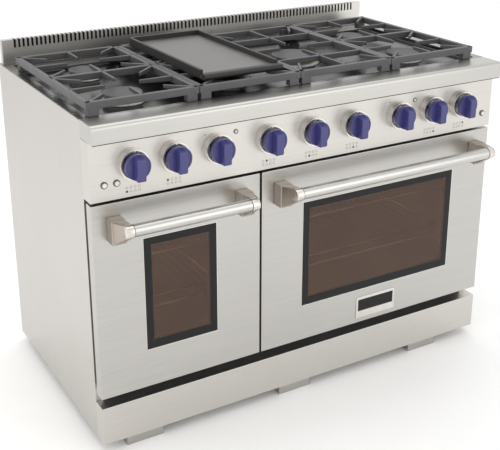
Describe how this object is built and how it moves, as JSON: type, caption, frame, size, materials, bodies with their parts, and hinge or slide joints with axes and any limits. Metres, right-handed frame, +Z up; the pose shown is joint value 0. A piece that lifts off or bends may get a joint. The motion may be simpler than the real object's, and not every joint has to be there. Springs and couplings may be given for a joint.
{
  "type": "freestanding gas range",
  "caption": "Wide freestanding gas range with a narrow and a wide drop-down oven, gas burners under lift-off cast grates, a griddle plate and a front row of turning knobs.",
  "frame": {"origin": "on the floor, under the middle of the whole range's box, handles included", "axes": "+X to the right seen from the front, -Y out of the front towards the cook, +Z up"},
  "size_m": [1.214, 0.7537, 0.936],
  "materials": {
    "stainless_sheet": "brushed sheet, satin",
    "stainless_bar": "satin ground bar",
    "cast_bracket": "satin casting",
    "zinc_steel": "zinc-coated sheet",
    "black_enamel": "glossy porcelain enamel",
    "door_glass": "tinted toughened glass",
    "rack_wire": "plated wire",
    "knob_plastic": "satin moulded blue",
    "button_plastic": "satin moulded",
    "brass_fittings": "machined",
    "burner_iron": "matt enamelled",
    "grate_iron": "matt enamelled",
    "griddle_steel": "rolled plate"
  },
  "bodies": {
    "root": {"side_panel_left": "stainless_sheet", "side_panel_right": "stainless_sheet", "rear_panel": "zinc_steel", "base_pan": "zinc_steel", "front_frame": "black_enamel", "oven_liner_left": "black_enamel", "oven_liner_right": "black_enamel", "kick_panel": "stainless_sheet", "control_panel": "stainless_sheet", "front_rail": "stainless_sheet", "cooktop_tray": "black_enamel", "backguard": "stainless_sheet", "gas_manifold": "brass_fittings", "foot_front_left": "stainless_sheet", "foot_front_middle": "stainless_sheet", "foot_front_right": "stainless_sheet", "foot_rear_left": "stainless_sheet", "foot_rear_right": "stainless_sheet", "burner_left_front": "burner_iron", "burner_left_rear": "burner_iron", "burner_griddle_front": "burner_iron", "burner_griddle_rear": "burner_iron", "burner_centre": "burner_iron", "burner_right_front": "burner_iron", "burner_right_rear": "burner_iron", "door_hinge_left_left": "zinc_steel", "door_hinge_right_left": "zinc_steel", "door_hinge_left_right": "zinc_steel", "door_hinge_right_right": "zinc_steel"},
    "door_left": {"door_shell_left": "stainless_sheet", "door_glass_left": "door_glass", "handle_bar_left": "stainless_bar", "handle_bracket_left_left": "cast_bracket", "handle_bracket_right_left": "cast_bracket"},
    "door_right": {"door_shell_right": "stainless_sheet", "door_glass_right": "door_glass", "handle_bar_right": "stainless_bar", "handle_bracket_left_right": "cast_bracket", "handle_bracket_right_right": "cast_bracket"},
    "knob_left_front_body": {"knob_left_front": "knob_plastic"},
    "knob_left_rear_body": {"knob_left_rear": "knob_plastic"},
    "knob_left_oven_body": {"knob_left_oven": "knob_plastic"},
    "knob_griddle_rear_body": {"knob_griddle_rear": "knob_plastic"},
    "knob_griddle_front_body": {"knob_griddle_front": "knob_plastic"},
    "knob_centre_body": {"knob_centre": "knob_plastic"},
    "knob_right_oven_body": {"knob_right_oven": "knob_plastic"},
    "knob_right_front_body": {"knob_right_front": "knob_plastic"},
    "knob_right_rear_body": {"knob_right_rear": "knob_plastic"},
    "button_light_body": {"button_light": "button_plastic"},
    "button_igniter_body": {"button_igniter": "button_plastic"},
    "button_oven_body": {"button_oven": "button_plastic"},
    "rack_lower_left_body": {"rack_lower_left": "rack_wire"},
    "rack_upper_left_body": {"rack_upper_left": "rack_wire"},
    "rack_lower_right_body": {"rack_lower_right": "rack_wire"},
    "rack_upper_right_body": {"rack_upper_right": "rack_wire"},
    "grate_left_body": {"grate_left": "grate_iron"},
    "grate_griddle_body": {"grate_griddle": "grate_iron"},
    "grate_centre_body": {"grate_centre": "grate_iron"},
    "grate_right_body": {"grate_right": "grate_iron"},
    "griddle_body": {"griddle_plate": "griddle_steel"}
  },
  "joints": [
    {"name": "door_left_hinge", "type": "hinge", "parent": "root", "child": "door_left", "pos_m": [-0.38225, -0.2631, 0.173], "axis": [1, 0, 0], "range_deg": [0, 90], "stiffness_Nm_per_rad": 7, "springref_deg": -17.19},
    {"name": "door_right_hinge", "type": "hinge", "parent": "root", "child": "door_right", "pos_m": [0.2275, -0.2631, 0.173], "axis": [1, 0, 0], "range_deg": [0, 90], "stiffness_Nm_per_rad": 13, "springref_deg": -17.19},
    {"name": "knob_left_front_turn", "type": "hinge", "parent": "root", "child": "knob_left_front_body", "pos_m": [-0.50102, -0.2883, 0.7584], "axis": [0, -1, 0], "range_deg": [0, 230]},
    {"name": "knob_left_rear_turn", "type": "hinge", "parent": "root", "child": "knob_left_rear_body", "pos_m": [-0.39601, -0.2883, 0.7584], "axis": [0, -1, 0], "range_deg": [0, 230]},
    {"name": "knob_left_oven_turn", "type": "hinge", "parent": "root", "child": "knob_left_oven_body", "pos_m": [-0.28001, -0.2883, 0.7584], "axis": [0, -1, 0], "range_deg": [0, 300]},
    {"name": "knob_griddle_rear_turn", "type": "hinge", "parent": "root", "child": "knob_griddle_rear_body", "pos_m": [-0.13403, -0.2883, 0.7584], "axis": [0, -1, 0], "range_deg": [0, 230]},
    {"name": "knob_griddle_front_turn", "type": "hinge", "parent": "root", "child": "knob_griddle_front_body", "pos_m": [-0.00601, -0.2883, 0.7584], "axis": [0, -1, 0], "range_deg": [0, 230]},
    {"name": "knob_centre_turn", "type": "hinge", "parent": "root", "child": "knob_centre_body", "pos_m": [0.12201, -0.2883, 0.7584], "axis": [0, -1, 0], "range_deg": [0, 230]},
    {"name": "knob_right_oven_turn", "type": "hinge", "parent": "root", "child": "knob_right_oven_body", "pos_m": [0.272, -0.2883, 0.7584], "axis": [0, -1, 0], "range_deg": [0, 300]},
    {"name": "knob_right_front_turn", "type": "hinge", "parent": "root", "child": "knob_right_front_body", "pos_m": [0.38399, -0.2883, 0.7584], "axis": [0, -1, 0], "range_deg": [0, 230]},
    {"name": "knob_right_rear_turn", "type": "hinge", "parent": "root", "child": "knob_right_rear_body", "pos_m": [0.48997, -0.2883, 0.7584], "axis": [0, -1, 0], "range_deg": [0, 230]},
    {"name": "button_light_press", "type": "slide", "parent": "root", "child": "button_light_body", "axis": [0, 1, 0], "range_m": [0, 0.003], "stiffness_N_per_m": 300},
    {"name": "button_igniter_press", "type": "slide", "parent": "root", "child": "button_igniter_body", "axis": [0, 1, 0], "range_m": [0, 0.003], "stiffness_N_per_m": 300},
    {"name": "button_oven_press", "type": "slide", "parent": "root", "child": "button_oven_body", "axis": [0, 1, 0], "range_m": [0, 0.003], "stiffness_N_per_m": 300},
    {"name": "rack_lower_left_slide", "type": "slide", "parent": "root", "child": "rack_lower_left_body", "axis": [0, -1, 0], "range_m": [0, 0.25]},
    {"name": "rack_upper_left_slide", "type": "slide", "parent": "root", "child": "rack_upper_left_body", "axis": [0, -1, 0], "range_m": [0, 0.25]},
    {"name": "rack_lower_right_slide", "type": "slide", "parent": "root", "child": "rack_lower_right_body", "axis": [0, -1, 0], "range_m": [0, 0.25]},
    {"name": "rack_upper_right_slide", "type": "slide", "parent": "root", "child": "rack_upper_right_body", "axis": [0, -1, 0], "range_m": [0, 0.25]},
    {"name": "grate_left_lift", "type": "slide", "parent": "root", "child": "grate_left_body", "axis": [0, 0, 1], "range_m": [0, 0.1]},
    {"name": "grate_griddle_lift", "type": "slide", "parent": "root", "child": "grate_griddle_body", "axis": [0, 0, 1], "range_m": [0, 0.1]},
    {"name": "grate_centre_lift", "type": "slide", "parent": "root", "child": "grate_centre_body", "axis": [0, 0, 1], "range_m": [0, 0.1]},
    {"name": "grate_right_lift", "type": "slide", "parent": "root", "child": "grate_right_body", "axis": [0, 0, 1], "range_m": [0, 0.1]},
    {"name": "griddle_lift", "type": "slide", "parent": "grate_griddle_body", "child": "griddle_body", "axis": [0, 0, 1], "range_m": [0, 0.1]}
  ],
  "couplings": [
    {"joint": "rack_lower_left_slide", "follows": "door_left_hinge", "m_per_rad": 0.159},
    {"joint": "rack_upper_left_slide", "follows": "door_left_hinge", "m_per_rad": 0.159},
    {"joint": "rack_lower_right_slide", "follows": "door_right_hinge", "m_per_rad": 0.159},
    {"joint": "rack_upper_right_slide", "follows": "door_right_hinge", "m_per_rad": 0.159}
  ]
}
